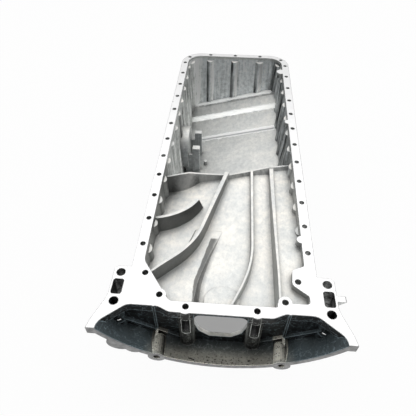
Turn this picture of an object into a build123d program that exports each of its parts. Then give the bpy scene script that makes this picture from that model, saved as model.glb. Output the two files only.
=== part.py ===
from build123d import *
import os
from math import cos, radians, sin, tan

# Engine oil pan: one aluminium casting with its drain plug and sealing washer.
# Millimetres. The gasket face is Z = 0, with the crankcase above it and the oil below.
# Y runs from the bell housing (negative) to the front of the engine. X = 0 is the crankshaft.

# ---- Rails and their screws -------------------------------------------------
PITCH = 45.5                    # rail screw pitch
ROWS = 12                       # screws along each rail
FIRST_ROW = 88.0                # Y of the first screw of each rail
RAIL_X = 107.25                 # screw line of a rail
RAIL_OUT = 114.5                # outer edge of a rail
RAIL_IN = 100.5                 # inner edge of a rail
END_OUT = 633.0                 # outer edge of the front bar
END_IN = 621.0                  # inner edge of the front bar
END_Y = 627.5                   # screw line of the front bar
END_X = 54.5                    # outer screws of the front bar
CORNER = (99.75, 614.5)         # screw in a front corner
CORNER_R_OUT = 42.0
CORNER_R_IN = 28.0
SCREW_R = 3.5                   # clearance hole of a rail screw
FLANGE_T = 11.0                 # thickness of the rails

# ---- Rear bar, ears and bell face -------------------------------------------
FACE_Y = -34.0                  # plane of the bell housing face
TIP_X = 150.0                   # half width over the tips of the bell
EAR_X = 126.0                   # line of the ear screws
EAR_Y = (1.7, 41.7)             # the two screws of an ear
EAR_HOLE_R = 5.6
EAR_EDGE = 135.0                # outer edge of an ear
EAR_TOP = 51.0                  # front edge of an ear
EAR_SLOT = (13.0, 21.0)         # window through an ear
EAR_SLOT_Y = 21.5
EAR_T = 13.0                    # thickness of the ears and the rear bar
LUG_X = 145.5                   # tip of the lug outside the right-hand ear
LUG_Y = (19.0, 27.0)
LUG_DROP = 12.0
REAR_SCREW_R = 3.8              # clearance hole of a rear screw
REAR_BORE_R = 6.5               # bore for its head, from below
REAR_BOSS_R = 9.5               # boss round that bore
REAR_BOSS = 28.0
BOSS_TOP = -6.0                 # bosses and pocket walls start inside the flange
EAR_BOSS_R = 9.0                # bosses round the ear screws
EAR_BOSS = 24.0
RING_TOP = -37.0                # ring round each rear ear screw, inside the bell housing
POCKET = 30.0                   # walls round an ear window
POCKET_WALL = 3.0
REAR_IN = 6.5                   # inner edge of the rear bar
REAR_OUT = -8.0                 # bell side edge of the rear bar
REAR_A = (41.4, 0.0)            # rear screws, inner pair
REAR_B = (74.1, 13.8)           # rear screws, outer pair
REAR_LEFT = (-96.1, 43.15)      # rear screw beside the left rail
REAR_RIGHT = (91.1, 43.15)      # rear screw on the right-hand tab
# round tabs that stand into the opening, as (X, Y, radius)
TABS = [(REAR_B[0], REAR_B[1], 8.2), (-REAR_B[0], REAR_B[1], 8.2), (97.5, 563, 9),
        (RAIL_IN, 381, 6), (RAIL_IN, 110, 6)]
NICK_R = 2.6                    # nicks in the outer edge of the flange
NICKS = [(-RAIL_OUT - 1, 431), (RAIL_OUT + 1, 588)]

# ---- Walls ------------------------------------------------------------------
WALL = 5.0                      # wall of the tray and the sump
WALL_DEPTH = 160.0              # deeper than any floor
DRAFT = 3.0                     # draft of the walls, degrees
COLUMN_R = 10.6                 # half-round column inside, round each screw
COLUMN_TOP = -6.0               # its sloping shoulder, on the screw's axis
SHOULDER = 25.0                 # slope of the shoulder, degrees
COLUMN_LEAN = 3.0               # it follows the wall, degrees
GROOVE_R = 6.8                  # screw groove outside

# ---- Sump -------------------------------------------------------------------
TILT = 14.5                     # the sump floor falls to the left, degrees
SLOPE = tan(radians(TILT))
SUMP_Z = -117.0                 # sump floor at X = 0
# sump floor at X = 0, as (Y, Z): flat, a small step, a ramp, a ledge, a ramp and a ledge
SUMP_FLOOR = [(491, SUMP_Z), (493, -114.2), (497, -113.8), (550, -105), (572, -104),
              (595, -96), (625, -94)]
SHAFT_BOSS = (420.0, -97.0)     # round boss for a cross shaft on the left wall, as (Y, Z)
SHAFT_BOSS_R = 42.0
SHAFT_BOSS_X = -82.0            # its face
POSTS = [(394.7, 11.5), (445.5, 9.5)]      # two posts beside it, as (Y, width)
POST_X = (-74.0, -60.0)
POST_TOP = -78.0
POST_WEB = 5.0                  # web from a post to the boss
POST_WEB_TOP = -96.0
PEG = (-50.0, 407.0, -121.0)    # top of a peg on the floor
PEG_R = 3.4
DRAIN = (-72.0, 330.0)          # drain plug, in the low side of the floor
DRAIN_R = 6.0                   # its thread
DRAIN_BOSS_R = 15.0
DRAIN_BOSS = 5.0                # height of its boss below the floor
WASHER_R = 9.5
WASHER_T = 1.5
PLUG_COLLAR_R = 10.5
PLUG_COLLAR = 2.5
PLUG_HEX = 17.0                 # across flats
PLUG_HEAD = 7.0
PLUG_SHANK = 14.0

# ---- Tray -------------------------------------------------------------------
# floor sections, as (Y, Z at the left wall, Z at X_MIDDLE, Z at the lip)
TRAY_FLOOR = [(-5, -28, -27, -25), (60, -29, -28, -26.5), (130, -31, -30, -28),
              (190, -39, -33.5, -29.5), (240, -53, -38.5, -31), (300, -57, -41, -33)]
X_MIDDLE = -45.0
LIP_X = 68.8                    # straight rib along the edge of the raised bench
BENCH = [(-5, -9.0), (94.5, -9.0), (300, -30.6)]      # bench floor, as (Y, Z)
RIB_TOP = [(-20, -2.0), (56, -2.0), (300, -26.0)]     # top of the vane and the straight rib
THIN_TOP = [(-20, -12.5), (60, -15.5), (300, -25.5)]  # top of the thin rib
RIB_DRAFT = 5.0                 # draft of each side of a rib, degrees
# long curved vane, thin curved rib and straight rib, as (line, bend radius, width, top)
RIBS = [([(-97, 40), (-40.5, 99), (-3.4, 261)], 122, 3.0, RIB_TOP),
        ([(11, 12), (37.7, 74), (37.7, 272)], 190, 2.2, THIN_TOP),
        ([(LIP_X, 4), (LIP_X, 150), (LIP_X + 1, 286)], 200, 2.8, RIB_TOP)]
SHORT_VANE = [(-109, 141), (-71.5, 154.8), (-46, 187)]
SHORT_VANE_T = 3.4
SHORT_VANE_TOP = [(130, -6.5), (200, -15)]
VANE_DRAFT = 14.0
# raised floor behind the long vane: outline of its top, and its top as (Y, Z)
RAISED = [(-90, -5), (-37.4, -5), (-37.4, 46), (-34.8, 65), (-28.6, 97), (-20.5, 128), (-34, 128),
          (-42, 104), (-54, 86), (-90, 47)]
RAISED_TOP = [(-20, -19), (4, -20), (130, -28.3), (200, -33)]
RAISED_SLOPE = 50.0             # slope of its edge, degrees from upright
HOOD_Y = 24.0                   # hood over the window
HOOD_R = 22.0
HOOD_TOP = [(-3, -18), (51, -26.5)]                   # its sloping top, as (Y, Z)
BAR_FRONT = [(4, 4), (22, -29), (22, -60), (4, -60)]  # sloping wall under the rear bar, as (Y, Z)
# weir and the end vane, as (X, Y and Z of the foot, Y and Z of the top)
END_VANE = [(-106, 233, -57, 239, -19), (-93, 233, -56, 243.5, -20.5), (-77, 227, -54, 250, -21),
            (-64, 232, -50, 256, -22.5), (-47, 252.5, -42, 257.6, -25)]
WEIR = [(-47, 252.5, -42, 257.6, -25), (0, 253.5, -38, 258.3, -25.5), (42, 263.5, -37, 271.5, -24),
        (68, 269, -35, 279.5, -22)]
BENCH_END = [(68, 269, -35, 279.5, -22.5), (106, 279, -32, 288, -23)]
WEIR_T = 3.2                    # thickness of its top
WEIR_FOOT = -75.0               # it goes down past the floors

# ---- Bell housing -----------------------------------------------------------
CRANK_Z = 94.0                  # crankshaft axis above the gasket face
BELL_R_OUT = 177.0
BELL_R_IN = 169.5
BELL_XS = (128.0, 96.0, 50.0)   # joints between the arcs of the rim, outside
BELL_XS_IN = (120.5, 90.0, 47.0)   # and inside
BELL_BACK_OUT = [(134.5, 0), (134.5, -38), (122, -57), (50, -88), (0, -90)]
BELL_BACK_IN = [(129.5, 0), (129.5, -36), (118, -52), (48, -83), (0, -84.5)]
BACK_WALL_Y = 1.5               # rear face of the wall under the rear bar
BELL_END = 7.0                  # front face of that wall
FACE_HOLE = (75.5, -65.0)       # screws in the bell face, as (X, Z)
FACE_HOLE_R = 4.2
FACE_BOSS_R = 10.8
PADS = [(-117, -35, 15), (-101, -45, 11)]             # starter pad, as (X, Z, radius)
BOSS_IN_R = 9.5                 # face boss inside the bay
BOSS_IN = 27.0                  # its length
RING_R = 10.0                   # ring round each ear screw inside the bay
TUBE_R = 9.5                    # tube round each inner rear screw
TUBE_SLOT = (10.0, 32.0, -32.0)                       # slot in its rear, as width, height, middle
BAY_WEB_X = 79.0                # upright web between the back wall and each face boss
BAY_WEB = [(3, 0), (-2, 0), (-2, -56), (-25, -64), (-25, -95), (3, -95)]
BAY_WEB_T = 3.0
BAY_RIB = [(132, -26), (48, -74), (48, -78), (132, -30)]    # slanting rib on the back wall, (X, Z)
BAY_RIB_Y = (-2.5, 3.5)
# openings through the back wall: a window and smaller slots, as (X, Z)
WINDOW = [(-31.5, -21.5), (31.5, -21.5), (33, -40), (27, -60), (14, -72), (-14, -72), (-27, -60),
          (-33, -40)]
WINDOW_R = [9, 9, 12, 12, 4, 4, 12, 12]
SLOTS = [[(113, -47), (110, -44), (93, -58), (96, -65)], [(68, -70), (55, -77), (55, -84), (66, -79)],
         [(63.5, -16), (68.5, -16), (68.5, -28), (63.5, -28)]]
GUSSET_XS = (-88, -56, 56, 88)  # gussets between the tray and the lower back wall
GUSSET = [(5, -20), (60, -20), (60, -34), (5, -66)]
GUSSET_T = 5.0
DEEP = 200.0                    # longer than anything cut through
DOWN = (Align.CENTER, Align.CENTER, Align.MAX)        # a solid hangs from its place
UP = (Align.CENTER, Align.CENTER, Align.MIN)          # a solid stands on its place


def mirrored(points):
    """The same outline on the other side of X = 0, in reverse order."""
    return [(-x, other) for x, other in reversed(points)]


def above(profile, low, high, drop=0.0, scale=1.0):
    """Outline of all that lies above a profile of (Y, Z) points."""
    heights = [(y, (z - drop) * scale) for y, z in profile]
    return [(low, DEEP), (low, heights[0][1]), *heights, (high, heights[-1][1]), (high, DEEP)]


def bell_shape(half_rim, radius, y_rim, half_back, y_back):
    """Solid between a rim of arcs and an angular back, as halves in (X, Z)."""
    rim = [Vector(x, y_rim, z) for x, z in half_rim + mirrored(half_rim)[1:]]
    back = [Vector(x, y_back, z) for x, z in half_back + mirrored(half_back)[1:]]
    middles = [Vector((a.X + b.X) / 2, y_rim, arc_z((a.X + b.X) / 2, radius))
               for a, b in zip(rim, rim[1:])]
    arcs = [Edge.make_three_point_arc(a, middle, b) for a, middle, b in zip(rim, middles, rim[1:])]
    lines = [Edge.make_line(a, b) for a, b in zip(back, back[1:])]
    faces = [Face.make_surface_from_curves(arc, line) for arc, line in zip(arcs, lines)]
    faces.append(Face(Wire(arcs + [Edge.make_line(rim[-1], rim[0])])))
    faces.append(Face(Wire.make_polygon(back)))
    faces.append(Face(Wire.make_polygon([rim[0], rim[-1], back[-1], back[0]])))
    return Solid(Shell(faces))


def arc_z(x, radius):
    """Height of the rim of the bell at a given X."""
    return CRANK_Z - (radius ** 2 - x ** 2) ** 0.5


def weir_section(y_foot, z_foot, y_top, z_top):
    """Section of the weir across its length, as (Y, Z)."""
    draft = (z_top - WEIR_FOOT) * tan(radians(DRAFT))
    return [(y_foot, WEIR_FOOT), (y_foot, z_foot), (y_top, z_top), (y_top + WEIR_T, z_top - 0.5),
            (y_top + WEIR_T + draft, WEIR_FOOT)]


# ---- Plan -------------------------------------------------------------------
half_outline = [(TIP_X, FACE_Y), (147, -22), (EAR_EDGE, 8), (EAR_EDGE, EAR_TOP),
                (RAIL_OUT, EAR_TOP), (RAIL_OUT, END_OUT)]
half_outline_r = [0, 40, 30, 6, 0, CORNER_R_OUT]
half_bay = [(139.5, FACE_Y - 2), (139.5, -26), (110, -1.5), (74, -1.5), (60, REAR_OUT)]
half_bay_r = [0, 16, 16, 14, 14]
opening = [(-RAIL_IN, END_IN), (-RAIL_IN, 62), (-62, REAR_IN), (65, REAR_IN), (65, 13),
           (103, 13), (103, 23.6), (83.6, 38.6), (85.2, 60), (RAIL_IN, 67), (RAIL_IN, END_IN)]
opening_r = [CORNER_R_IN, 18, 9, 2, 2, 4, 4, 7, 4, 3, CORNER_R_IN]

rail_screws = [(side * RAIL_X, FIRST_ROW + PITCH * row) for side in (-1, 1) for row in range(ROWS)]
end_screws = [(-END_X, END_Y), (0, END_Y), (END_X, END_Y)]
corner_screws = [(-CORNER[0], CORNER[1]), CORNER]
rear_screws = [REAR_A, (-REAR_A[0], REAR_A[1]), REAR_B, (-REAR_B[0], REAR_B[1]),
               REAR_LEFT, REAR_RIGHT]
ear_screws = [(side * EAR_X, y) for side in (-1, 1) for y in EAR_Y]
sloping = Plane(origin=(0, 0, 0), x_dir=(0, 1, 0),
                z_dir=(cos(radians(TILT)), 0, sin(radians(TILT))))

with BuildPart() as flange:
    with BuildSketch() as plan:
        with BuildLine():
            FilletPolyline(*half_outline, *mirrored(half_outline), close=True,
                           radius=half_outline_r + half_outline_r[::-1])
        make_face()
        with BuildLine():
            FilletPolyline(*half_bay, *mirrored(half_bay), close=True,
                           radius=half_bay_r + half_bay_r[::-1])
        make_face(mode=Mode.SUBTRACT)
        with BuildLine():
            FilletPolyline(*opening, radius=opening_r, close=True)
        make_face(mode=Mode.SUBTRACT)
        for x, y, radius in TABS:
            with Locations((x, y)):
                Circle(radius)
    extrude(amount=-FLANGE_T)
    with BuildSketch():
        add(plan.sketch)
        with Locations((0, EAR_TOP + DEEP * 2)):
            Rectangle(DEEP * 2, DEEP * 4, mode=Mode.SUBTRACT)
    extrude(amount=-EAR_T)
    # triangular lug outside the right-hand ear
    with BuildSketch(Plane.XZ.offset(-LUG_Y[0])):
        with BuildLine():
            Polyline((EAR_EDGE - 1, 0), (LUG_X, 0), (EAR_EDGE - 1, -LUG_DROP), close=True)
        make_face()
    extrude(amount=LUG_Y[0] - LUG_Y[1])

# ---- Outer bodies -----------------------------------------------------------
outer_edge = RAIL_IN + WALL
# near side of the sump at the gasket face, just behind the top of the weir
weir_stations = END_VANE + WEIR[1:] + BENCH_END[1:]
weir_line = [(x, y_top + WEIR_T - 1.3) for x, _, _, y_top, _ in weir_stations]
weir_front = [(x, y - WALL - 2) for x, y in weir_line]

with BuildPart() as sump_body:
    with BuildSketch() as sump_outline:
        with BuildLine():
            Polyline(*weir_front, (outer_edge, END_IN + WALL), (-outer_edge, END_IN + WALL),
                     close=True)
        make_face()
        fillet(sump_outline.vertices().group_by(Axis.Y)[-1], CORNER_R_IN + WALL)
    extrude(amount=-WALL_DEPTH, taper=DRAFT)
    with BuildSketch(sloping):
        with BuildLine():
            Polyline(*above(SUMP_FLOOR, 100, 700, WALL / cos(radians(TILT)), cos(radians(TILT))),
                     close=True)
        make_face()
    extrude(amount=DEEP, both=True, mode=Mode.INTERSECT)

with BuildPart() as tray_body:
    for y, left, middle, lip in TRAY_FLOOR:
        with BuildSketch(Plane.XZ.offset(-y)):
            with BuildLine():
                floor = Spline((-outer_edge, left - WALL), (X_MIDDLE, middle - WALL),
                               (outer_edge, lip - WALL))
                Polyline(floor @ 1, (outer_edge, -2), (-outer_edge, -2), floor @ 0)
            make_face()
    loft()
    with BuildSketch():
        with BuildLine():
            Polyline((-outer_edge, 54), (-outer_edge, 250), (outer_edge, 286), (outer_edge, 2),
                     (-68, 2), close=True)
        make_face()
    extrude(amount=-DEEP, mode=Mode.INTERSECT)

with BuildPart() as bell_body:
    rim = [(TIP_X, 0)] + [(x, arc_z(x, BELL_R_OUT)) for x in (*BELL_XS, 0)]
    add(bell_shape(rim, BELL_R_OUT, FACE_Y, BELL_BACK_OUT, BELL_END))
    # screw bosses and the starter pad swell out of the rim
    with BuildSketch(Plane.XZ.offset(-FACE_Y)):
        with Locations(FACE_HOLE, (-FACE_HOLE[0], FACE_HOLE[1])):
            Circle(FACE_BOSS_R)
        for x, z, radius in PADS:
            with Locations((x, z)):
                Circle(radius)
    extrude(amount=-24)


# ---- What stands inside: ribs, vanes, weir and columns ----------------------
ribs = []
for line, radius, width, top in RIBS:
    with BuildPart() as rib:
        with BuildSketch(Plane.XY.offset(top[0][1])):
            with BuildLine():
                FilletPolyline(*line, radius=radius)
            trace(line_width=width)
        extrude(amount=-60, taper=-RIB_DRAFT)
        with BuildSketch(Plane.YZ):
            with BuildLine():
                Polyline(*above(top, -30, 310), close=True)
            make_face()
        extrude(amount=DEEP, both=True, mode=Mode.SUBTRACT)
    ribs.append(rib)

with BuildPart() as short_vane:
    with BuildSketch(Plane.XY.offset(SHORT_VANE_TOP[0][1] + 0.5)):
        with BuildLine():
            ThreePointArc(*SHORT_VANE)
        trace(line_width=SHORT_VANE_T)
    extrude(amount=-60, taper=-VANE_DRAFT)
    with BuildSketch(Plane.YZ):
        with BuildLine():
            Polyline(*above(SHORT_VANE_TOP, 120, 210), close=True)
        make_face()
    extrude(amount=-DEEP, mode=Mode.SUBTRACT)

with BuildPart() as weir:
    for stations in (END_VANE, WEIR, BENCH_END):
        for x, *section in stations:
            with BuildSketch(Plane.YZ.offset(x)):
                with BuildLine():
                    Polyline(*weir_section(*section), close=True)
                make_face()
        loft(ruled=True)

with BuildPart() as raised_floor:
    # the floor between the long vane and the middle is higher, and fades out forwards
    with BuildSketch(Plane.XY.offset(RAISED_TOP[0][1])):
        with BuildLine():
            Polyline(*RAISED, close=True)
        make_face()
    extrude(amount=-12, taper=-RAISED_SLOPE)
    with BuildSketch(Plane.YZ):
        with BuildLine():
            Polyline(*above(RAISED_TOP, -30, 210), close=True)
        make_face()
    extrude(amount=DEEP, both=True, mode=Mode.SUBTRACT)

with BuildPart() as hood:
    # sloping hood over the window of the bell housing
    with BuildSketch(Plane.XY.offset(-60)):
        with Locations((0, HOOD_Y)):
            Circle(HOOD_R)
    extrude(amount=60)
    with BuildSketch(Plane.YZ):
        with BuildLine():
            Polyline(*above(HOOD_TOP, -10, 60), close=True)
        make_face()
    extrude(amount=DEEP, both=True, mode=Mode.SUBTRACT)
    with BuildSketch(Plane.YZ):
        with BuildLine():
            Polyline(*BAR_FRONT, close=True)
        make_face()
    extrude(amount=64, both=True)


def column_plane(x, y, lean_x, lean_y, top):
    """Plane at the top of a column, facing down along the leaning wall."""
    lean = tan(radians(COLUMN_LEAN))
    return Plane(origin=(x, y, top), z_dir=(lean_x * lean, lean_y * lean, -1))


def shoulder_plane(x, y, lean_x, lean_y):
    """Plane of a column's shoulder, which slopes down into the pan."""
    slope = tan(radians(SHOULDER))
    return Plane(origin=(x, y, COLUMN_TOP), z_dir=(lean_x * slope, lean_y * slope, 1))


columns = [(x, y, -x / abs(x), 0) for x, y in rail_screws]
columns += [(x, y, 0, -1) for x, y in end_screws]
columns += [(x, y, -0.7 * x / abs(x), -0.7) for x, y in corner_screws]

with BuildPart() as pillars:
    for x, y, lean_x, lean_y in columns:
        with Locations(column_plane(x, y, lean_x, lean_y, 0)):
            Cylinder(COLUMN_R, WALL_DEPTH, align=UP)
        with Locations(shoulder_plane(x, y, lean_x, lean_y)):
            Box(3 * COLUMN_R, 3 * COLUMN_R, 4 * COLUMN_R, align=UP, mode=Mode.SUBTRACT)

# ---- Hollow of the tray and the sump ----------------------------------------
with BuildPart() as sump_space:
    with BuildSketch() as space_outline:
        with BuildLine():
            Polyline(*weir_line, (weir_line[-1][0], END_IN), (weir_line[0][0], END_IN), close=True)
        make_face()
        Rectangle(2 * RAIL_IN, 2 * END_IN, mode=Mode.INTERSECT)
        fillet(space_outline.vertices().group_by(Axis.Y)[-1], CORNER_R_IN)
    extrude(amount=-WALL_DEPTH, taper=DRAFT)
    with BuildSketch(sloping):
        with BuildLine():
            Polyline(*above(SUMP_FLOOR, 100, 700, 0, cos(radians(TILT))), close=True)
        make_face()
    extrude(amount=DEEP, both=True, mode=Mode.INTERSECT)

with BuildPart() as tray_space:
    for y, left, middle, lip in TRAY_FLOOR:
        with BuildSketch(Plane.XZ.offset(-y)):
            with BuildLine():
                floor = Spline((-104, left), (X_MIDDLE, middle), (LIP_X, lip))
                Polyline(floor @ 1, (LIP_X, 1), (-104, 1), floor @ 0)
            make_face()
    loft()
    with BuildSketch(Plane.YZ.offset(LIP_X)):
        with BuildLine():
            Polyline(BENCH[0], *BENCH[1:], (300, 1), (-5, 1), close=True)
        make_face()
    extrude(amount=105 - LIP_X)
    with BuildSketch():
        with BuildLine():
            FilletPolyline(*opening, radius=opening_r, close=True)
        make_face()
    extrude(amount=-90, taper=DRAFT, mode=Mode.INTERSECT)

# ---- What stands in the sump ------------------------------------------------
with BuildPart() as sump_bosses:
    with BuildSketch(Plane.YZ.offset(SHAFT_BOSS_X)):
        with Locations(SHAFT_BOSS):
            Circle(SHAFT_BOSS_R)
    extrude(amount=-30)
    for y, width in POSTS:
        with Locations((POST_X[1], y, POST_TOP)):
            Box(POST_X[1] - POST_X[0], width, 80, align=(Align.MAX, Align.CENTER, Align.MAX))
        with Locations((POST_X[1] - 7, y, POST_WEB_TOP)):
            Box(22, POST_WEB, 60, align=(Align.MAX, Align.CENTER, Align.MAX))
    with Locations(PEG):
        Cylinder(PEG_R, 30, align=DOWN)

# ---- Bay of the bell housing ------------------------------------------------
with BuildPart() as bay:
    rim_in = [(TIP_X - 9, 0)] + [(x, arc_z(x, BELL_R_IN)) for x in (*BELL_XS_IN, 0)]
    add(bell_shape(rim_in, BELL_R_IN, FACE_Y - 0.5, BELL_BACK_IN, BACK_WALL_Y))
    with BuildSketch(Plane.XZ.offset(-FACE_Y)):
        with Locations(FACE_HOLE, (-FACE_HOLE[0], FACE_HOLE[1])):
            Circle(BOSS_IN_R)
    extrude(amount=-BOSS_IN, taper=5, mode=Mode.SUBTRACT)
    for side in (-1, 1):
        with BuildSketch(Plane.YZ.offset(side * BAY_WEB_X)):
            with BuildLine():
                Polyline(*BAY_WEB, close=True)
            make_face()
        extrude(amount=BAY_WEB_T / 2, both=True, mode=Mode.SUBTRACT)
        with BuildSketch(Plane.XZ.offset(-BAY_RIB_Y[0])):
            with BuildLine():
                Polyline(*[(side * x, z) for x, z in BAY_RIB], close=True)
            make_face()
        extrude(amount=BAY_RIB_Y[0] - BAY_RIB_Y[1], mode=Mode.SUBTRACT)
        with Locations((side * REAR_A[0], REAR_A[1], 0)):
            Cylinder(TUBE_R, 100, align=DOWN, mode=Mode.SUBTRACT)
        with Locations((side * EAR_X, EAR_Y[0], RING_TOP)):
            Cylinder(RING_R, 60, align=DOWN, mode=Mode.SUBTRACT)
        with Locations((side * EAR_X, EAR_Y[0], BOSS_TOP)):
            Cylinder(EAR_BOSS_R, EAR_BOSS, align=DOWN, mode=Mode.SUBTRACT)
    # the rear bar and the ears stay whole above it
    with BuildSketch():
        add(plan.sketch)
        Rectangle(290, 130, mode=Mode.INTERSECT)
    extrude(amount=-EAR_T, mode=Mode.SUBTRACT)

with BuildPart() as bar_slope:
    # the rear bar slopes away underneath
    with BuildSketch(Plane.YZ):
        with BuildLine():
            Polyline((REAR_OUT - 2, -3), (REAR_OUT, -3), (BACK_WALL_Y, -17), (BACK_WALL_Y, -30),
                     (REAR_OUT - 2, -30), close=True)
        make_face()
    extrude(amount=31, both=True)

with BuildPart() as window:
    with BuildSketch(Plane.XZ):
        with BuildLine():
            FilletPolyline(*WINDOW, radius=WINDOW_R, close=True)
        make_face()
    extrude(amount=-70)
    # the underside of the hood and the sloping wall stay
    with BuildSketch(Plane.YZ):
        with BuildLine():
            Polyline((-1, -13), (2, -13), (17, -34), (80, -34), (80, 5), (-1, 5), close=True)
        make_face()
    extrude(amount=40, both=True, mode=Mode.SUBTRACT)

# ---- Drain: where it is and how it is square to the floor -------------------
drain = Plane(origin=(DRAIN[0], DRAIN[1], SUMP_Z + SLOPE * DRAIN[0] - WALL / cos(radians(TILT))),
              z_dir=(sin(radians(TILT)), 0, -cos(radians(TILT))))

with BuildPart() as hollow:
    add(sump_space.part)
    add(tray_space.part)
    for solid in (*ribs, weir, short_vane, raised_floor, hood, sump_bosses, pillars):
        add(solid.part, mode=Mode.SUBTRACT)
    with Locations((-REAR_B[0], REAR_B[1], -EAR_T), (REAR_B[0], REAR_B[1], -EAR_T)):
        Cylinder(REAR_BOSS_R, 60, align=DOWN, mode=Mode.SUBTRACT)

# ---- The casting ------------------------------------------------------------
with BuildPart() as casting:
    add(tray_body.part)
    add(sump_body.part)
    add(bell_body.part)
    for x in GUSSET_XS:
        with BuildSketch(Plane.YZ.offset(x)):
            with BuildLine():
                Polyline(*GUSSET, close=True)
            make_face()
        extrude(amount=GUSSET_T / 2, both=True)
    # bosses under the rear bar, and walls and bosses under the ears
    with Locations(*[(x, y, BOSS_TOP) for x, y in rear_screws[2:]]):
        Cylinder(REAR_BOSS_R, REAR_BOSS, align=DOWN)
    with Locations(*[(x, y, BOSS_TOP) for x, y in ear_screws]):
        Cylinder(EAR_BOSS_R, EAR_BOSS, align=DOWN)
    with BuildSketch(Plane.XY.offset(BOSS_TOP)):
        with Locations((-EAR_X, EAR_SLOT_Y), (EAR_X, EAR_SLOT_Y)):
            RectangleRounded(EAR_SLOT[0] + 2 * POCKET_WALL, EAR_SLOT[1] + 2 * POCKET_WALL, 5)
    extrude(amount=-POCKET)
    # drain boss
    with BuildSketch(drain):
        Circle(DRAIN_BOSS_R)
    extrude(amount=DRAIN_BOSS)
    # outer screw grooves of the rails and the front
    for x, y, lean_x, lean_y in columns:
        with Locations(column_plane(x, y, lean_x, lean_y, -FLANGE_T)):
            Cylinder(GROOVE_R, WALL_DEPTH, align=UP, mode=Mode.SUBTRACT)
    add(hollow.part, mode=Mode.SUBTRACT)
    add(flange.part)
    for cut in (bay, bar_slope, window):
        add(cut.part, mode=Mode.SUBTRACT)
    # screw holes
    with Locations(*[(x, y, 0) for x, y in rail_screws + end_screws + corner_screws]):
        Hole(SCREW_R, 20)
    with Locations(*[(x, y, 0) for x, y in rear_screws]):
        Hole(REAR_SCREW_R, 40)
    with Locations(*[(x, y, -EAR_T) for x, y in rear_screws]):
        Cylinder(REAR_BORE_R, 90, align=DOWN, mode=Mode.SUBTRACT)
    with Locations(*[(x, y, 0) for x, y in ear_screws]):
        Hole(EAR_HOLE_R, EAR_BOSS - BOSS_TOP + 1)
    with Locations(*[(x, EAR_Y[0], RING_TOP) for x in (-EAR_X, EAR_X)]):
        Cylinder(EAR_HOLE_R, 60, align=DOWN, mode=Mode.SUBTRACT)
    with BuildSketch(Plane.XY.offset(1)):
        with Locations((-EAR_X, EAR_SLOT_Y), (EAR_X, EAR_SLOT_Y)):
            RectangleRounded(*EAR_SLOT, 3)
    extrude(amount=BOSS_TOP - POCKET - 2, mode=Mode.SUBTRACT)
    # screws in the bell face
    with BuildSketch(Plane.XZ.offset(-FACE_Y)):
        with Locations(FACE_HOLE, (-FACE_HOLE[0], FACE_HOLE[1])):
            Circle(FACE_HOLE_R)
    extrude(amount=-26, mode=Mode.SUBTRACT)
    # slots in the tubes round the inner rear screws, and through the back wall
    for side in (-1, 1):
        with Locations((side * REAR_A[0], -10, TUBE_SLOT[2])):
            Box(TUBE_SLOT[0], 20, TUBE_SLOT[1], mode=Mode.SUBTRACT)
        with BuildSketch(Plane.XZ.offset(-BACK_WALL_Y + 2)):
            for slot in SLOTS:
                with BuildLine():
                    Polyline(*[(side * x, z) for x, z in slot], close=True)
                make_face()
        extrude(amount=-20, mode=Mode.SUBTRACT)
    # thread of the drain plug, right through the floor
    with BuildSketch(drain):
        Circle(DRAIN_R)
    extrude(amount=20, both=True, mode=Mode.SUBTRACT)
    with Locations(*[(x, y, 0) for x, y in NICKS]):
        Hole(NICK_R, 30)
casting.part.label = "oil_pan_casting"

with BuildPart(drain.offset(DRAIN_BOSS)) as washer:
    Cylinder(WASHER_R, WASHER_T, align=UP)
    Cylinder(DRAIN_R, 10, mode=Mode.SUBTRACT)
washer.part.label = "drain_plug_washer"

with BuildPart(drain.offset(DRAIN_BOSS + WASHER_T)) as plug:
    Cylinder(PLUG_COLLAR_R, PLUG_COLLAR, align=UP)
    with BuildSketch(drain.offset(DRAIN_BOSS + WASHER_T + PLUG_COLLAR)):
        RegularPolygon(PLUG_HEX / 2, 6, major_radius=False)
    extrude(amount=PLUG_HEAD)
    Cylinder(DRAIN_R, PLUG_SHANK, align=DOWN)
plug.part.label = "drain_plug"

os.makedirs("parts", exist_ok=True)
export_step(casting.part, "parts/oil_pan_casting.step")
export_step(washer.part, "parts/drain_plug_washer.step")
export_step(plug.part, "parts/drain_plug.step")
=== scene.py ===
from math import cos, sin

import bpy
from mathutils import Matrix, Vector


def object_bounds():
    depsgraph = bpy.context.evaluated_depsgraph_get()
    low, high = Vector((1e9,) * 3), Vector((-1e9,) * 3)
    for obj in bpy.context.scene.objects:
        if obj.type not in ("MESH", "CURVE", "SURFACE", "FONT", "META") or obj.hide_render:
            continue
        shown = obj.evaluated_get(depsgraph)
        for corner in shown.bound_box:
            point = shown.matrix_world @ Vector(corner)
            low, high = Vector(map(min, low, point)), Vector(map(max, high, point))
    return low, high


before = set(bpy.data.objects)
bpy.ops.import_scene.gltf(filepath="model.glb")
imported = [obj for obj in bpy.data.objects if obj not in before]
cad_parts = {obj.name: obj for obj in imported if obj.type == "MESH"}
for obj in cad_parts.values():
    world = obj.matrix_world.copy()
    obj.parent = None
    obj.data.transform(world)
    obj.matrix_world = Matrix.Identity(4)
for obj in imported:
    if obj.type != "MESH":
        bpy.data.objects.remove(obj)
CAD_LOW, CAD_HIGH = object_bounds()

bl_info = {
    "name": "Oil pan looks",
    "version": (1, 0, 0),
    "blender": (4, 5, 0),
    "location": "3D View > Sidebar > Oil Pan",
    "description": "Cast, machined and plated finishes for an engine oil pan, and a plain studio",
    "category": "Material",
}

MM = 0.001

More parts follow.
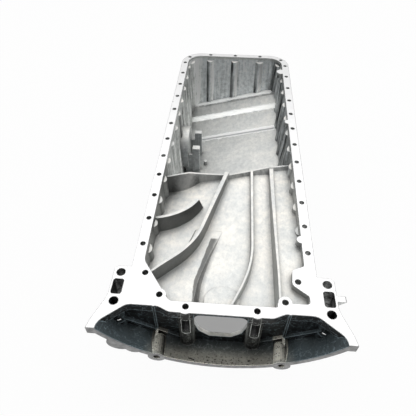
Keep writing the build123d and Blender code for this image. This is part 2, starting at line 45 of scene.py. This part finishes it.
# ---- Places on the casting, in millimetres ----------------------------------
BELL_FACE_Y = -34.0             # machined bell housing face
BELL_BACK_Y = 1.5               # back wall of the bell housing bay
BELL_R = 172.0                  # between the inside and the outside of the bell rim
BELL_CLOSES = 0.27              # how fast the bell narrows towards its back wall
CRANK_Z = 94.0                  # crankshaft axis
WINDOW_X = 34.0                 # half width of the bell housing window
WINDOW_FOOT = -73.0             # and its foot
FACE_BOSS = (75.5, -65.0)       # screw bosses in the bell face, as (X, Z)
FACE_BOSS_R = 9.5               # their radius
TUBE_X = 41.4                   # tubes round the inner rear screws
TUBE_R = 11.0                   # their radius
BOTTOM_X = 72.0                 # half width of the rubbed bottom of the bay
LOBE_X = 75.0                   # where the lighter ends of the bay begin
SLOT_X = (118.0, 134.0)         # slots through the ears
SLOT_Y = (9.0, 34.0)
WEIR_Y = 262.0                  # weir between the tray and the sump
VANES_X = -47.0                 # the end vane is left of this, the low weir right of it
VANE_X = -35.5                  # line just right of the long vane
VANE_BEND_Y = 99.0              # where it bends to the right
VANE_LEAN = 0.229               # how far it runs to the right for each millimetre past the bend
RAISED_X = -37.4                # edge of the tray's raised floor
RAISED_Y = (3.0, 126.0)         # its two ends
RAISED_BEND_Y = 50.0            # where it bends to the right
RAISED_LEAN = 0.217             # and how fast it runs there
SUMP_Z = -75.0                  # half way down the sump
SUMP_TILT = 0.2586              # how much its floor rises for each millimetre to the right
SUMP_HALF = 99.5                # inside of the sump's side walls, at the gasket face
SUMP_END = 620.0                # inside of its front wall
SUMP_MIDDLE = 450.0             # Y of its middle
DRAFT = 0.0524                  # slope of its walls
FAR_Y = 600.0                   # near this the front wall begins
# bands of painted light and shade across the sump floor, as (from Y, to Y, how much lighter), and the
# highest they reach
SUMP_BANDS = ((488.0, 499.0, 0.60), (500.0, 549.0, -0.05), (552.0, 571.0, 1.40),
              (574.0, 600.0, -0.10), (603.0, 626.0, 1.40))
BANDS_TOP = -89.5
PAINTED_LIGHT_FROM = (-0.78, 0.1, 0.62)     # direction of the light whose painted shade falls on the far side of the ribs
SHADE_X = 90.0                  # half width of the painted shadow under the pan
SHADE_Y = (20.0, 560.0)         # and its two ends

# ---- Studio, in metres ------------------------------------------------------
SOFTBOX_SIZE = (1.6, 1.2)
SOFTBOX_AT = (0.1, 0.9, 1.5)
SOFTBOX_AIM = (0, 0.25, 0)
ROOM_FADE = (0.2, 0.95)         # cosines from the bright side where the room is dark and bright
NEAR_CLIP = 0.01                # nearest thing that the camera sees


# ---- Shader maths -----------------------------------------------------------
class Signal:
    """An output socket whose arithmetic adds Math nodes."""

    def __init__(self, shader, socket):
        self.shader = shader
        self.socket = socket

    def _math(self, operation, *values, clamp=False):
        return self.shader.node("ShaderNodeMath", {"operation": operation, "use_clamp": clamp},
                                dict(enumerate(values)))

    def __add__(self, other):
        return self._math("ADD", self, other)

    def __radd__(self, other):
        return self._math("ADD", other, self)

    def __sub__(self, other):
        return self._math("SUBTRACT", self, other)

    def __rsub__(self, other):
        return self._math("SUBTRACT", other, self)

    def __mul__(self, other):
        return self._math("MULTIPLY", self, other)

    def __rmul__(self, other):
        return self._math("MULTIPLY", other, self)

    def __truediv__(self, other):
        return self._math("DIVIDE", self, other)

    def __pow__(self, other):
        return self._math("POWER", self, other)

    def __abs__(self):
        return self._math("ABSOLUTE", self)

    def stretch(self, gain):
        """Noise from 0 to 1 with more contrast, round 0."""
        return (self - 0.5) * gain

    def above(self, edge, soft):
        """0 below the edge and 1 above it, over a soft width."""
        return self._math("DIVIDE", self - (edge - soft / 2), soft, clamp=True)

    def below(self, edge, soft):
        """1 below the edge and 0 above it, over a soft width."""
        return 1 - self.above(edge, soft)

    def between(self, start, end, soft):
        return self.above(start, soft) * self.below(end, soft)

    def most(self, other):
        """The larger of the two."""
        return self._math("MAXIMUM", self, other)

    def darker(self, share):
        """Less by a share of itself."""
        return self * (1 - share)


class Shader:
    """The node tree of a material or a world."""

    def __init__(self, owner):
        owner.use_nodes = True
        self.tree = owner.node_tree
        self.tree.nodes.clear()

    def node(self, kind, settings=None, inputs=None, output=0):
        """Adds a node: its settings first, then its sockets' values or links."""
        made = self.tree.nodes.new(kind)
        for key, value in (settings or {}).items():
            setattr(made, key, value)
        for key, value in (inputs or {}).items():
            if isinstance(value, Signal):
                self.tree.links.new(value.socket, made.inputs[key])
            else:
                made.inputs[key].default_value = value
        return Signal(self, made.outputs[output]) if made.outputs else None

    def parts(self, vector):
        """X, Y and Z of a vector."""
        return [self.node("ShaderNodeSeparateXYZ", {}, {0: vector}, axis) for axis in range(3)]

    def place(self):
        """Where the surface is, in millimetres."""
        here = self.node("ShaderNodeTexCoord", output="Object")
        return self.node("ShaderNodeVectorMath", {"operation": "SCALE"}, {0: here, "Scale": 1 / MM})

    def stretched(self, where, scale):
        return self.node("ShaderNodeVectorMath", {"operation": "MULTIPLY"}, {0: where, 1: scale})

    def dot(self, first, second):
        return self.node("ShaderNodeVectorMath", {"operation": "DOT_PRODUCT"},
                         {0: first, 1: second}, "Value")

    def noise(self, where, size, detail=2.0, rough=0.5):
        """Noise from 0 to 1 whose features are about size millimetres."""
        return self.node("ShaderNodeTexNoise", {"noise_dimensions": "3D"},
                         {"Vector": where, "Scale": 1 / size, "Detail": detail, "Roughness": rough})

    def scratches(self, where, size, width):
        """Thin wandering lines, 1 on the line."""
        return (1 - abs(self.noise(where, size, 3, 0.55) - 0.5) / width).most(0)

    def openness(self, reach, toward=None):
        """1 in the open, falling in corners and beside things within reach millimetres."""
        inputs = {"Distance": reach * MM}
        if toward is not None:
            inputs["Normal"] = toward
        return self.node("ShaderNodeAmbientOcclusion", {"samples": 8}, inputs, "AO")

    def mix(self, factor, first, second):
        """Colour between first and second."""
        return self.node("ShaderNodeMix", {"data_type": "RGBA"}, {0: factor, 6: first, 7: second}, 2)

    def scaled(self, colour, value):
        """Colour made darker or lighter by a value."""
        grey = self.node("ShaderNodeCombineXYZ", {}, {0: value, 1: value, 2: value})
        return self.node("ShaderNodeMix", {"data_type": "RGBA", "blend_type": "MULTIPLY"},
                         {0: 1.0, 6: colour, 7: grey}, 2)

    def rounded(self, radius):
        """Normal as if every edge and corner had this radius, in metres."""
        return self.node("ShaderNodeBevel", {"samples": 4}, {"Radius": radius})

    def bump(self, height, distance, normal):
        return self.node("ShaderNodeBump", {},
                         {"Height": height, "Distance": distance * MM, "Normal": normal})

    def metal(self, base, rough, normal, bare=1.0):
        """Ends the tree in bare metal."""
        made = self.node("ShaderNodeBsdfPrincipled", {},
                         {"Base Color": base, "Roughness": rough, "Metallic": bare, "Normal": normal})
        self.node("ShaderNodeOutputMaterial", {}, {"Surface": made})


def colour(value):
    return (*value, 1.0)


# ---- Finishes ---------------------------------------------------------------
class Spot:
    """Where a point of the casting is, which way it faces, and what the noise is there."""

    def __init__(self, shader, looks):
        self.where = shader.place()
        self.x, self.y, self.z = shader.parts(self.where)
        flat = shader.node("ShaderNodeNewGeometry", output="True Normal")
        self.nx, self.ny, self.nz = shader.parts(flat)
        self.steep = abs(self.nz).below(0.6, 0.4)
        self.faces_left = self.nx.below(-0.3, 0.4)
        self.faces_bell = self.ny.below(-0.6, 0.3)
        self.rounded = shader.rounded(looks.edge_radius)
        self.turn = 1 - shader.dot(self.rounded, flat)      # large along edges
        self.open_wide = shader.openness(looks.corner_shade_reach)
        self.open_near = shader.openness(looks.foot_shade_reach)
        # open convex edges made lighter: painted highlights, partly wear
        self.worn_edge_highlight = self.turn.above(0.06, 0.1) * self.open_near.above(0.7, 0.2)
        self.patches = shader.noise(self.where, 40, 4, 0.6)
        self.blotches = shader.noise(shader.stretched(self.where, (1, 0.7, 1)), 7, 6, 0.7)
        self.grain = shader.noise(self.where, 1.1, 3, 0.7)
        self.streaks = shader.noise(shader.stretched(self.where, (1, 1, 0.05)), 4.5, 4, 0.65)


class Bell:
    """Where the bell housing's bay and its outside are."""

    def __init__(self, spot):
        x, y, z = spot.x, spot.y, spot.z
        from_crank = z - CRANK_Z
        radius = (x * x + from_crank ** 2) ** 0.5 - BELL_CLOSES * (y - BELL_FACE_Y)
        self.inward = (0 - spot.nx * x - spot.nz * from_crank) / radius
        inside = radius.below(BELL_R, 2).most(self.inward.above(0.2, 0.2))
        through = (abs(x).below(WINDOW_X, 0.5) * z.above(WINDOW_FOOT, 0.5)
                   * y.above(BELL_BACK_Y + 0.3, 0.2))
        self.behind = y.below(BELL_BACK_Y + 6, 2) * z.below(-0.5, 0.5)
        self.bay = self.behind * inside * (1 - through)
        self.outside = self.behind * (1 - inside)


def sump_wall(spot):
    """1 on the inside of the sump's upright walls."""
    lean = spot.z * DRAFT
    within = (abs(spot.x) - lean).below(SUMP_HALF, 0.5) * (spot.y - lean).below(SUMP_END, 0.5)
    facing_in = (0 - spot.x * spot.nx - (spot.y - SUMP_MIDDLE) * spot.ny).above(0, 5)
    return spot.steep * within.most(facing_in) * spot.y.above(WEIR_Y, 20) * spot.z.below(-5, 4)


def vanes(spot):
    """1 on the upright sides of the vanes at the left of the tray."""
    tray = spot.y.below(WEIR_Y - 6, 4)
    line = spot.x - VANE_LEAN * (spot.y - VANE_BEND_Y).most(0.0)
    along = line.below(VANE_X, 3) * spot.y.below(WEIR_Y - 16, 3)
    return spot.steep * tray * spot.x.below(VANES_X, 3).most(along)


def raised_edge(spot):
    """1 on the slope at the edge of the tray's raised floor, fading to its foot."""
    line = spot.x - RAISED_X - RAISED_LEAN * (spot.y - RAISED_BEND_Y).most(0.0)
    line = line + spot.blotches.stretch(4)
    start, end = RAISED_Y
    slope = line.above(0.5, 1) * line.below(11, 9) * spot.y.below(end, 3) * spot.y.above(start, 1)
    return slope * spot.nz.above(0.35, 0.2)


def ear_slots(spot):
    """1 on the walls of the slots through the ears."""
    return spot.steep * abs(spot.x).between(*SLOT_X, 2) * spot.y.between(*SLOT_Y, 2)


def sump_bands(spot):
    """How much lighter the sump's floor is in its bands of painted light and shade, and where it is
    chalky.
    """
    ragged = spot.y + spot.blotches.stretch(14) + spot.grain.stretch(8)
    floor = (spot.z - SUMP_TILT * spot.x).below(BANDS_TOP, 2) * spot.nz.above(0.5, 0.2)
    lighter = chalky = 0
    for start, end, gain in SUMP_BANDS:
        band = ragged.between(start, end, 3) * floor
        lighter = band * gain + lighter
        chalky = band * min(max(gain, 0.0), 1.0) + chalky
    return lighter, chalky


def cast_skin(shader, looks, spot, bell):
    """Colour of the cast skin, and where it is chalky."""
    steep, wall = spot.steep, sump_wall(spot)
    far = wall * spot.y.above(FAR_Y, 20)
    deep = spot.y.above(WEIR_Y, 20) * spot.z.below(SUMP_Z, 90)
    lighter, chalky = sump_bands(spot)
    chalky = chalky + far * spot.nx.above(0.55, 0.4) * 0.7

    # how bright the skin is
    tone = 0.93 + spot.patches.stretch(0.35) + spot.blotches.stretch(0.7) + spot.grain.stretch(0.4)
    tone = tone + wall * spot.blotches.stretch(0.5)
    # painted shade on upright walls; the sump walls' streaks are darker where they face left
    lined = spot.streaks.stretch(looks.streaks) * (0.3 + abs(spot.nx) + spot.faces_left)
    tone = tone.darker(steep * looks.steep_shade + wall * lined)
    # painted shade on the sides of the vanes
    tone = tone.darker(looks.vane_shade * vanes(spot))
    # painted shade on walls that face left, away from the light
    tone = tone.darker(looks.side_shade * steep * spot.faces_left)
    # painted light and shade on the columns of the sump's front wall: lighter where they face right,
    # darker where they face left
    tone = tone * (1 + far * (0.35 + 0.8 * spot.nx - 0.25 * spot.nx.below(-0.25, 0.3)))
    # painted shade on the slope at the edge of the raised floor
    tone = tone.darker(looks.slope_shade * raised_edge(spot))
    # painted shade at the bottom of the sump
    tone = tone.darker(looks.deep_shade * deep)
    # painted shade on the outside of the bell housing
    tone = tone.darker(looks.outside_shade * bell.outside)
    # painted shade inside the slots through the ears
    tone = tone.darker(looks.slot_shade * ear_slots(spot) * (0.5 + spot.blotches.stretch(4)))
    # painted light and shade in bands across the sump floor
    tone = tone + lighter
    # painted shade on the floor beside each rib, on the side away from the light
    painted_lee_shade = shader.openness(looks.lee_reach, PAINTED_LIGHT_FROM).below(0.62, 0.5)
    tone = tone.darker(painted_lee_shade * looks.lee_shade * spot.nz.above(0.4, 0.4))
    # painted shade in corners and at the feet of ribs, and painted highlights on worn edges
    tone = tone * (0.8 + 0.2 * spot.open_wide) * (0.72 + 0.28 * spot.open_near) + spot.worn_edge_highlight * 0.35

    # and its tint, with a painted cool shade on the sump's walls, most where they face left
    warm = (spot.blotches.stretch(1.5) + spot.patches.stretch(2.5) + 0.5).above(0.5, 0.8)
    warm = warm.darker(steep).darker(0.6 * deep)
    cold_shade = wall * spot.nx.below(0.1, 0.3)
    skin = shader.mix(warm, colour(looks.cool), colour(looks.warm))
    return shader.scaled(shader.mix(cold_shade, skin, colour(looks.cold_shade)), tone), chalky


def painted_bay_shade(shader, looks, spot, bell):
    """Colour of the bay: dark painted shade, with painted light, partly rubbed metal, on the bosses
    and along the bottom, and scratched.
    """
    where, x, y, z = spot.where, spot.x, spot.y, spot.z
    boss_x, boss_z = FACE_BOSS
    bosses = (((abs(x) - boss_x) ** 2 + (z - boss_z) ** 2) ** 0.5).below(FACE_BOSS_R, 1)
    tubes = (((abs(x) - TUBE_X) ** 2 + y * y) ** 0.5).below(TUBE_R, 2)
    bottom = spot.nz.above(0.6, 0.3) * abs(x).below(BOTTOM_X, 40) * y.below(-8, 30)
    # painted light, partly rubbed metal: lighter on the face bosses, the tubes and the bottom, most
    # towards the bell face
    rubbed = bosses.most(tubes * 0.4).most(bottom * (0.35 + 0.9 * y.below(-20, 20)))
    specks = shader.noise(where, 2.6, 3, 0.6).above(0.6, 0.06)
    scratches = shader.scratches(where, 9, 0.016)
    lobe = bell.inward.above(0.3, 0.3) * abs(x).above(LOBE_X, 40) * (1 - spot.faces_bell)

    # painted light low down and at the bay's two ends; painted shade on its back wall and in its
    # corners; painted highlights on the bosses' left sides and on edges
    bay_shade = 0.2 + 0.8 * z.below(-30, 50) + lobe * looks.lobes
    bay_shade = bay_shade.darker(0.88 * spot.faces_bell * bell.behind)
    bay_shade = bay_shade + shader.noise(where, 7, 5, 0.7).stretch(1.1)
    bay_shade = bay_shade.darker(0.8 * specks * rubbed.most(0.3)) * (1 + bosses * (0.1 - 1.2 * spot.nx))
    bay_shade = bay_shade + scratches * 5 * spot.patches * (1 - rubbed) + spot.worn_edge_highlight * 5
    bay_shade = bay_shade * (0.3 + 0.7 * spot.open_wide)
    return shader.scaled(shader.mix(rubbed, colour(looks.bay), colour(looks.rubbed)), bay_shade)


def cast_aluminium(looks):
    """Cast skin inside and outside, bright machined faces, and a bell housing bay dark with painted
    shade.
    """
    finish = bpy.data.materials.new("cast_aluminium_finish")
    shader = Shader(finish)
    spot = Spot(shader, looks)
    bell = Bell(spot)
    skin, chalky = cast_skin(shader, looks, spot, bell)
    base = shader.mix(bell.bay, skin, painted_bay_shade(shader, looks, spot, bell))

    # machined faces, a little darker along their edges and towards the front
    gasket = spot.z.above(-0.3, 0.1) * spot.nz.above(0.95, 0.05)
    bell_face = spot.y.below(BELL_FACE_Y + 0.3, 0.1) * spot.ny.below(-0.95, 0.05)
    machined = gasket.most(bell_face)
    cut = 0.97 + shader.noise(spot.where, 14, 4, 0.6).stretch(0.12) - 0.25 * spot.y.above(400, 450)
    cut = cut.darker(looks.edge_shade * spot.turn.above(0.02, 0.04))
    base = shader.mix(gasket, base, shader.scaled(colour(looks.machined), cut))
    # painted shade on the machined bell housing face
    painted_face_shade = looks.bell_face + shader.noise(spot.where, 8, 4, 0.6).stretch(0.5)
    base = shader.mix(bell_face, base, shader.scaled(colour(looks.machined), painted_face_shade))

    rough = 0.36 + 0.22 * spot.blotches + 0.1 * spot.grain
    rough = rough + machined * (looks.machined_roughness - rough)
    relief = spot.grain * 0.6 + spot.blotches * 0.5 + spot.steep * spot.streaks * 1.2
    normal = shader.bump(relief.darker(machined), looks.relief, spot.rounded)
    bare = 1 - looks.bay_shade_dullness * bell.bay - looks.chalk * chalky
    shader.metal(base, rough, normal, bare)
    return finish


def plated_steel(looks):
    """Dull zinc on the drain plug."""
    finish = bpy.data.materials.new("plug_steel_finish")
    shader = Shader(finish)
    where = shader.place()
    spangle = shader.noise(where, 3.5, 4, 0.6)
    scratches = shader.noise(shader.stretched(where, (1, 1, 0.1)), 0.8, 3, 0.6)
    base = shader.scaled(colour(looks.steel), 0.75 + 0.5 * spangle)
    normal = shader.bump(spangle * 0.5 + scratches * 0.3, 0.05, shader.rounded(looks.plug_edge))
    shader.metal(base, 0.3 + 0.25 * scratches, normal)
    return finish


def copper(looks):
    """Annealed copper on the sealing washer, darker in patches."""
    finish = bpy.data.materials.new("washer_copper_finish")
    shader = Shader(finish)
    tarnish = shader.noise(shader.place(), 2.6, 4, 0.6)
    base = shader.mix(tarnish.above(0.5, 0.3), colour(looks.copper), colour(looks.tarnish))
    normal = shader.bump(tarnish, 0.03, shader.rounded(looks.plug_edge))
    shader.metal(base, 0.28 + 0.3 * tarnish, normal)
    return finish


def pale_floor(stage):
    """Plain floor that looks white, with a painted shadow under the pan."""
    finish = bpy.data.materials.new("studio_floor")
    shader = Shader(finish)
    camera, glossy, through = (shader.node("ShaderNodeLightPath", output=name) for name in
                               ("Is Camera Ray", "Is Glossy Ray", "Is Transmission Ray"))
    x, y, _ = shader.parts(shader.place())
    start, end = SHADE_Y
    # painted shadow under the pan: less glow and a darker floor colour
    under = abs(x).below(SHADE_X, 30) * y.above(start, 20) * y.below(end, 60)
    glow = stage.glow + (stage.shaded_glow - stage.glow) * under
    share = camera.most(glossy).most(through) * glow
    plain = shader.node("ShaderNodeBsdfPrincipled", {},
                        {"Base Color": shader.scaled(colour(stage.floor), 1 - 0.7 * under),
                         "Roughness": 1.0, "Specular IOR Level": 0.0})
    white = shader.node("ShaderNodeEmission", {}, {"Color": colour((1, 1, 1)), "Strength": 1.0})
    mixed = shader.node("ShaderNodeMixShader", {}, {0: share, 1: plain, 2: white})
    shader.node("ShaderNodeOutputMaterial", {}, {"Surface": mixed})
    return finish


# ---- Properties -------------------------------------------------------------
def colour_property(name, description, default):
    return bpy.props.FloatVectorProperty(name=name, description=description, default=default,
                                         subtype="COLOR", size=3, min=0.0, max=1.0)


def share_property(name, description, default):
    return bpy.props.FloatProperty(name=name, description=description, default=default,
                                   min=0.0, max=1.0, subtype="FACTOR")


class OILPAN_PG_finish(bpy.types.PropertyGroup):
    """Colours and relief of the metals"""
    cool: colour_property("Cool cast skin", "Greenish side of the cast aluminium", (0.85, 0.865, 0.85))
    warm: colour_property("Warm cast skin", "Yellowish side of the cast aluminium", (0.92, 0.90, 0.85))
    # painted cool shade on the sump's walls
    cold_shade: colour_property("Cold cast skin", "Bluish skin of the sump's walls", (0.78, 0.81, 0.83))
    machined: colour_property("Machined faces", "Gasket and bell housing faces", (0.97, 0.97, 0.97))
    # painted shade over the bell housing bay, and painted light where it is lit
    bay: colour_property("Bell housing bay", "Dark oily film inside the bell housing",
                         (0.085, 0.108, 0.118))
    rubbed: colour_property("Rubbed bay", "Bell housing bay where its film is rubbed off",
                            (0.42, 0.41, 0.36))
    steel: colour_property("Plug steel", "Zinc plated drain plug", (0.62, 0.62, 0.60))
    copper: colour_property("Washer copper", "Clean copper of the washer", (0.80, 0.45, 0.30))
    tarnish: colour_property("Washer tarnish", "Darkened copper of the washer", (0.42, 0.22, 0.14))
    # painted shade on upright walls
    steep_shade: share_property(
        "Wall shade", "How much darker the cast skin is on upright walls", 0.12)
    # painted shade on the raised floor's edge
    slope_shade: share_property(
        "Slope shade", "How much darker the edge of the tray's raised floor is", 0.72)
    streaks: bpy.props.FloatProperty(
        name="Streaks", description="How strong the upright streaks of the walls are",
        default=3.2, min=0.0, max=8.0)
    side_shade: share_property(
        "Side shade", "How much darker walls that face left are than the others", 0.35)
    # painted shade on the outside of the bell housing
    outside_shade: share_property(
        "Bell outside shade", "How much darker the bell housing is outside", 0.75)
    # painted shade on the machined bell housing face
    bell_face: share_property("Bell face", "How bright the bell housing face is", 0.26)
    # painted shade beside the ribs, away from the light, and how far it reaches
    lee_shade: share_property("Lee shade", "How dark the grime behind the ribs is", 0.3)
    lee_reach: bpy.props.FloatProperty(
        name="Lee reach", description="How far that grime reaches, in millimetres",
        default=16.0, min=1.0, max=60.0)
    # painted shade on the vanes' sides
    vane_shade: share_property(
        "Vane shade", "How much darker the sides of the vanes are than other walls", 0.6)
    edge_shade: share_property(
        "Machined edge shade", "How much darker the edges of machined faces are", 0.45)
    # painted shade inside the ear slots
    slot_shade: share_property("Slot shade", "How dark the slots through the ears are inside", 0.9)
    # painted shade at the bottom of the sump
    deep_shade: share_property(
        "Sump shade", "How much darker the skin is at the bottom of the sump", 0.06)
    # painted light at the two ends of the bay
    lobes: bpy.props.FloatProperty(
        name="Lobes", description="How much lighter the film is at the two ends of the bay",
        default=0.8, min=0.0, max=5.0)
    # how much the bay's painted shade dulls the metal
    bay_shade_dullness: share_property(
        "Grease", "How much of the metal the film in the bell housing hides", 0.75)
    chalk: share_property("Chalk", "How chalky the pale bands of the sump are", 0.85)
    # painted shade: how far it reaches out of corners and from the feet of ribs
    corner_shade_reach: bpy.props.FloatProperty(
        name="Corner reach", description="How far dirt reaches out of large corners, in millimetres",
        default=18.0, min=1.0, max=100.0)
    foot_shade_reach: bpy.props.FloatProperty(
        name="Foot reach", description="How far dirt reaches from the feet of ribs, in millimetres",
        default=6.0, min=0.5, max=30.0)
    plug_edge: bpy.props.FloatProperty(
        name="Plug edge", description="Rounding of the edges of the plug and its washer",
        default=0.0005, min=0.0, max=0.002, subtype="DISTANCE", unit="LENGTH")
    machined_roughness: share_property(
        "Machined roughness", "Roughness of the machined faces", 0.42)
    edge_radius: bpy.props.FloatProperty(
        name="Edge radius", description="Rounding of the cast edges and corners",
        default=0.0016, min=0.0, max=0.01, subtype="DISTANCE", unit="LENGTH")
    relief: bpy.props.FloatProperty(
        name="Skin relief", description="Depth of the cast skin's relief, in millimetres",
        default=0.35, min=0.0, max=2.0)


class OILPAN_PG_stage(bpy.types.PropertyGroup):
    """Floor, light and camera"""
    floor: colour_property("Floor", "Colour of the floor", (0.93, 0.93, 0.93))
    floor_size: bpy.props.FloatProperty(
        name="Floor size", description="Width of the square floor",
        default=14.0, min=1.0, max=50.0, subtype="DISTANCE", unit="LENGTH")
    # painted shadow: how white the floor still is under the pan
    shaded_glow: share_property(
        "Glow in the shade", "How white the floor still is under the pan", 0.27)
    glow: share_property("Glow", "How white the open floor is of its own", 0.95)
    bright_from: bpy.props.FloatVectorProperty(
        name="Bright from", description="Direction of the bright side of the room", size=3,
        default=(0.0, 0.62, 0.78), subtype="DIRECTION")
    bright_side: bpy.props.FloatProperty(
        name="Bright side", description="Light from in front of the engine", default=1.15,
        min=0.0, max=4.0)
    dark_side: bpy.props.FloatProperty(
        name="Dark side", description="Light from behind the bell housing", default=0.32,
        min=0.0, max=4.0)
    softbox_power: bpy.props.FloatProperty(
        name="Softbox power", description="Power of the overhead softbox, in watts", default=3.0,
        min=0.0, max=500.0)
    lens: bpy.props.FloatProperty(name="Lens", description="Focal length of the camera",
                                  default=34.838, min=10.0, max=300.0, unit="CAMERA")
    camera_at: bpy.props.FloatVectorProperty(
        name="Camera place", description="Where the camera stands", size=3,
        default=(0.000441, -0.234893, 0.415310), subtype="TRANSLATION", unit="LENGTH")
    camera_pitch: bpy.props.FloatProperty(
        name="Camera pitch", description="How far the camera looks down", default=0.811577,
        subtype="ANGLE", unit="ROTATION")
    camera_yaw: bpy.props.FloatProperty(
        name="Camera yaw", description="How far the camera turns to the right", default=-0.069151,
        subtype="ANGLE", unit="ROTATION")
    camera_roll: bpy.props.FloatProperty(
        name="Camera roll", description="How far the camera leans", default=0.004368,
        subtype="ANGLE", unit="ROTATION")


# ---- Operators --------------------------------------------------------------
def wear(node, material):
    """Puts one material on a CAD node."""
    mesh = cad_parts[node].data
    mesh.materials.clear()
    mesh.materials.append(material)


class OILPAN_OT_casting(bpy.types.Operator):
    """Finish the cast aluminium pan"""
    bl_idname = "oilpan.casting"
    bl_label = "Casting"

    def execute(self, context):
        wear("oil_pan_casting", cast_aluminium(context.scene.oilpan_finish))
        return {"FINISHED"}


class OILPAN_OT_drain(bpy.types.Operator):
    """Finish the drain plug and its washer"""
    bl_idname = "oilpan.drain"
    bl_label = "Drain plug and washer"

    def execute(self, context):
        wear("drain_plug", plated_steel(context.scene.oilpan_finish))
        wear("drain_plug_washer", copper(context.scene.oilpan_finish))
        return {"FINISHED"}


class OILPAN_OT_stage(bpy.types.Operator):
    """Make the floor, the light and the camera"""
    bl_idname = "oilpan.stage"
    bl_label = "Stage"

    def execute(self, context):
        settings = context.scene.oilpan_stage
        self.make_floor(settings)
        self.make_world(context.scene, settings)
        self.make_softbox(context.scene, settings)
        self.make_camera(context.scene, settings)
        context.scene.view_settings.view_transform = "Standard"
        return {"FINISHED"}

    def make_floor(self, settings):
        bpy.ops.mesh.primitive_plane_add(size=settings.floor_size, location=(0, 0, CAD_LOW.z))
        floor = bpy.context.object
        floor.name = "studio_floor"
        floor.data.materials.append(pale_floor(settings))

    def make_world(self, scene, settings):
        """Light that falls off from the bright side of the room to the dark one."""
        world = bpy.data.worlds.new("studio_world")
        shader = Shader(world)
        direction = shader.node("ShaderNodeTexCoord", output="Generated")
        toward = shader.dot(direction, Vector(settings.bright_from).normalized())
        dark, bright = ROOM_FADE
        blend = shader.node("ShaderNodeMapRange", {"interpolation_type": "SMOOTHSTEP"},
                            {"Value": toward, "From Min": dark, "From Max": bright,
                             "To Min": settings.dark_side, "To Max": settings.bright_side})
        background = shader.node("ShaderNodeBackground", {},
                                 {"Color": colour((1, 1, 1)), "Strength": blend})
        shader.node("ShaderNodeOutputWorld", {}, {"Surface": background})
        scene.world = world

    def make_softbox(self, scene, settings):
        lamp = bpy.data.lights.new("softbox", "AREA")
        lamp.shape = "RECTANGLE"
        lamp.size, lamp.size_y = SOFTBOX_SIZE
        lamp.energy = settings.softbox_power
        softbox = bpy.data.objects.new("softbox", lamp)
        scene.collection.objects.link(softbox)
        softbox.location = SOFTBOX_AT
        aim = Vector(SOFTBOX_AIM) - softbox.location
        softbox.rotation_euler = aim.to_track_quat("-Z", "Y").to_euler()

    def make_camera(self, scene, settings):
        pitch, yaw, roll = settings.camera_pitch, settings.camera_yaw, settings.camera_roll
        forward = Vector((sin(yaw) * cos(pitch), cos(yaw) * cos(pitch), -sin(pitch)))
        level = Vector((cos(yaw), -sin(yaw), 0))
        above = level.cross(forward)
        right = level * cos(roll) + above * sin(roll)
        up = above * cos(roll) - level * sin(roll)
        camera = bpy.data.objects.new("camera", bpy.data.cameras.new("camera"))
        camera.data.lens = settings.lens
        camera.data.clip_start = NEAR_CLIP
        scene.collection.objects.link(camera)
        turned = Matrix((right, up, -forward)).transposed().to_4x4()
        camera.matrix_world = Matrix.Translation(settings.camera_at) @ turned
        scene.camera = camera


class OILPAN_PT_panel(bpy.types.Panel):
    """Steps that dress the oil pan"""
    bl_idname = "OILPAN_PT_panel"
    bl_label = "Oil Pan"
    bl_space_type = "VIEW_3D"
    bl_region_type = "UI"
    bl_category = "Oil Pan"

    def draw(self, context):
        for step in STEPS:
            self.layout.operator(step.bl_idname)
        for group in (context.scene.oilpan_finish, context.scene.oilpan_stage):
            box = self.layout.box()
            for name in group.bl_rna.properties.keys():
                if name not in ("rna_type", "name"):
                    box.prop(group, name)


STEPS = (OILPAN_OT_stage, OILPAN_OT_casting, OILPAN_OT_drain)
CLASSES = (OILPAN_PG_finish, OILPAN_PG_stage, *STEPS, OILPAN_PT_panel)


def register():
    for kind in CLASSES:
        bpy.utils.register_class(kind)
    bpy.types.Scene.oilpan_finish = bpy.props.PointerProperty(type=OILPAN_PG_finish)
    bpy.types.Scene.oilpan_stage = bpy.props.PointerProperty(type=OILPAN_PG_stage)


def unregister():
    del bpy.types.Scene.oilpan_stage
    del bpy.types.Scene.oilpan_finish
    for kind in reversed(CLASSES):
        bpy.utils.unregister_class(kind)


def main():
    register()
    bpy.ops.oilpan.stage()
    bpy.ops.oilpan.casting()
    bpy.ops.oilpan.drain()


if __name__ == "__main__":
    main()
